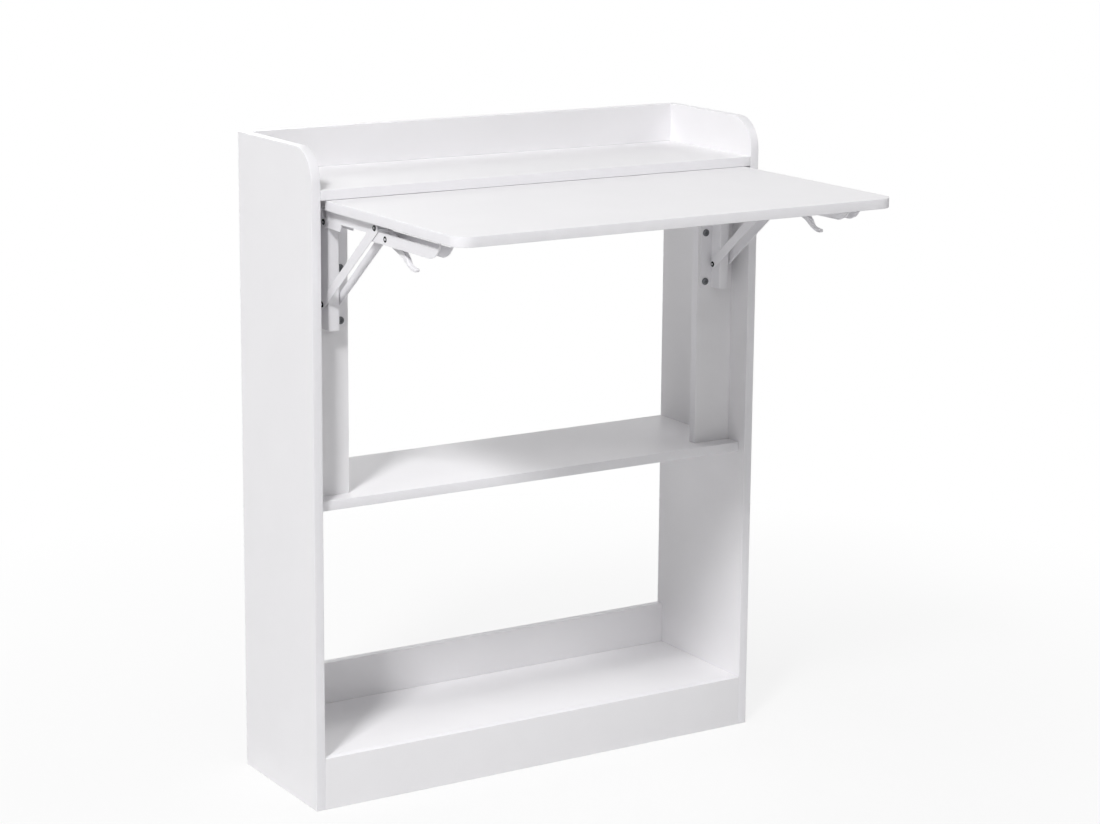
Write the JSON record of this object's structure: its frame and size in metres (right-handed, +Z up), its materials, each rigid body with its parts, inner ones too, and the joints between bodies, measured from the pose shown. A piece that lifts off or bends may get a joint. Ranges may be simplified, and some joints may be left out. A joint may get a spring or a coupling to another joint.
{
  "type": "fold down wall desk",
  "caption": "Narrow free-standing white shelf unit with a desk leaf that folds down flat on slotted steel brackets with struts and finger release levers.",
  "frame": {"origin": "on the floor, under the middle of the unit's box with the leaf open", "axes": "+X to the right seen from the front, +Y to the back (the wall), +Z up"},
  "size_m": [0.64, 0.499, 0.809],
  "materials": {
    "white_board": "particle board faced and edged in white melamine, fine satin",
    "painted_steel": "pressed steel sheet, white powder coat",
    "plated_steel": "bright zinc plate",
    "screw_steel": "dull zinc plate",
    "cast_zinc": "die-cast, dull",
    "beech": "plain turned beech"
  },
  "bodies": {
    "carcass": {"left_side_panel": "white_board", "right_side_panel": "white_board", "top_shelf": "white_board", "middle_shelf": "white_board", "bottom_shelf": "white_board", "kick_board": "white_board", "lower_back_rail": "white_board", "upper_back_rail": "white_board", "left_post": "white_board", "right_post": "white_board", "wood_dowels": "beech", "cam_bolts": "plated_steel", "cam_discs": "cast_zinc", "left_wall_arm": "painted_steel", "right_wall_arm": "painted_steel", "left_hinge_pin": "plated_steel", "right_hinge_pin": "plated_steel", "post_screws": "screw_steel"},
    "leaf": {"desk_leaf": "white_board", "left_table_arm": "painted_steel", "right_table_arm": "painted_steel", "left_lever_pin": "plated_steel", "right_lever_pin": "plated_steel", "left_lever_spring": "plated_steel", "right_lever_spring": "plated_steel", "leaf_screws": "screw_steel"},
    "left_strut": {"left_strut_outer_bar": "painted_steel", "left_strut_inner_bar": "painted_steel", "left_strut_pin": "plated_steel", "left_strut_rivets": "plated_steel"},
    "left_slide": {"left_slide_pin": "plated_steel"},
    "left_lever": {"left_release_lever": "painted_steel"},
    "right_strut": {"right_strut_outer_bar": "painted_steel", "right_strut_inner_bar": "painted_steel", "right_strut_pin": "plated_steel", "right_strut_rivets": "plated_steel"},
    "right_slide": {"right_slide_pin": "plated_steel"},
    "right_lever": {"right_release_lever": "painted_steel"}
  },
  "joints": [
    {"name": "leaf_fold", "type": "hinge", "parent": "carcass", "child": "leaf", "pos_m": [0, 0.081, 0.7185], "axis": [1, 0, 0], "range_deg": [0, 90]},
    {"name": "left_strut_swing", "type": "hinge", "parent": "carcass", "child": "left_strut", "pos_m": [-0.2822, 0.084, 0.6195], "axis": [1, 0, 0], "range_deg": [0, 125.34]},
    {"name": "left_pin_slide", "type": "slide", "parent": "leaf", "child": "left_slide", "axis": [0, -1, 0], "range_m": [0, 0.14137]},
    {"name": "left_lever_lift", "type": "hinge", "parent": "leaf", "child": "left_lever", "pos_m": [-0.2822, -0.0695, 0.7193], "axis": [1, 0, 0], "range_deg": [-20, 0]},
    {"name": "right_strut_swing", "type": "hinge", "parent": "carcass", "child": "right_strut", "pos_m": [0.2822, 0.084, 0.6195], "axis": [1, 0, 0], "range_deg": [0, 125.34]},
    {"name": "right_pin_slide", "type": "slide", "parent": "leaf", "child": "right_slide", "axis": [0, -1, 0], "range_m": [0, 0.14137]},
    {"name": "right_lever_lift", "type": "hinge", "parent": "leaf", "child": "right_lever", "pos_m": [0.2822, -0.0695, 0.7193], "axis": [1, 0, 0], "range_deg": [-20, 0]}
  ],
  "couplings": [
    {"joint": "left_strut_swing", "follows": "leaf_fold", "ratio": 1.3926},
    {"joint": "left_pin_slide", "follows": "leaf_fold", "m_per_rad": 0.09},
    {"joint": "left_lever_lift", "follows": "leaf_fold", "ratio": -0.22222},
    {"joint": "right_strut_swing", "follows": "leaf_fold", "ratio": 1.3926},
    {"joint": "right_pin_slide", "follows": "leaf_fold", "m_per_rad": 0.09},
    {"joint": "right_lever_lift", "follows": "leaf_fold", "ratio": -0.22222}
  ]
}
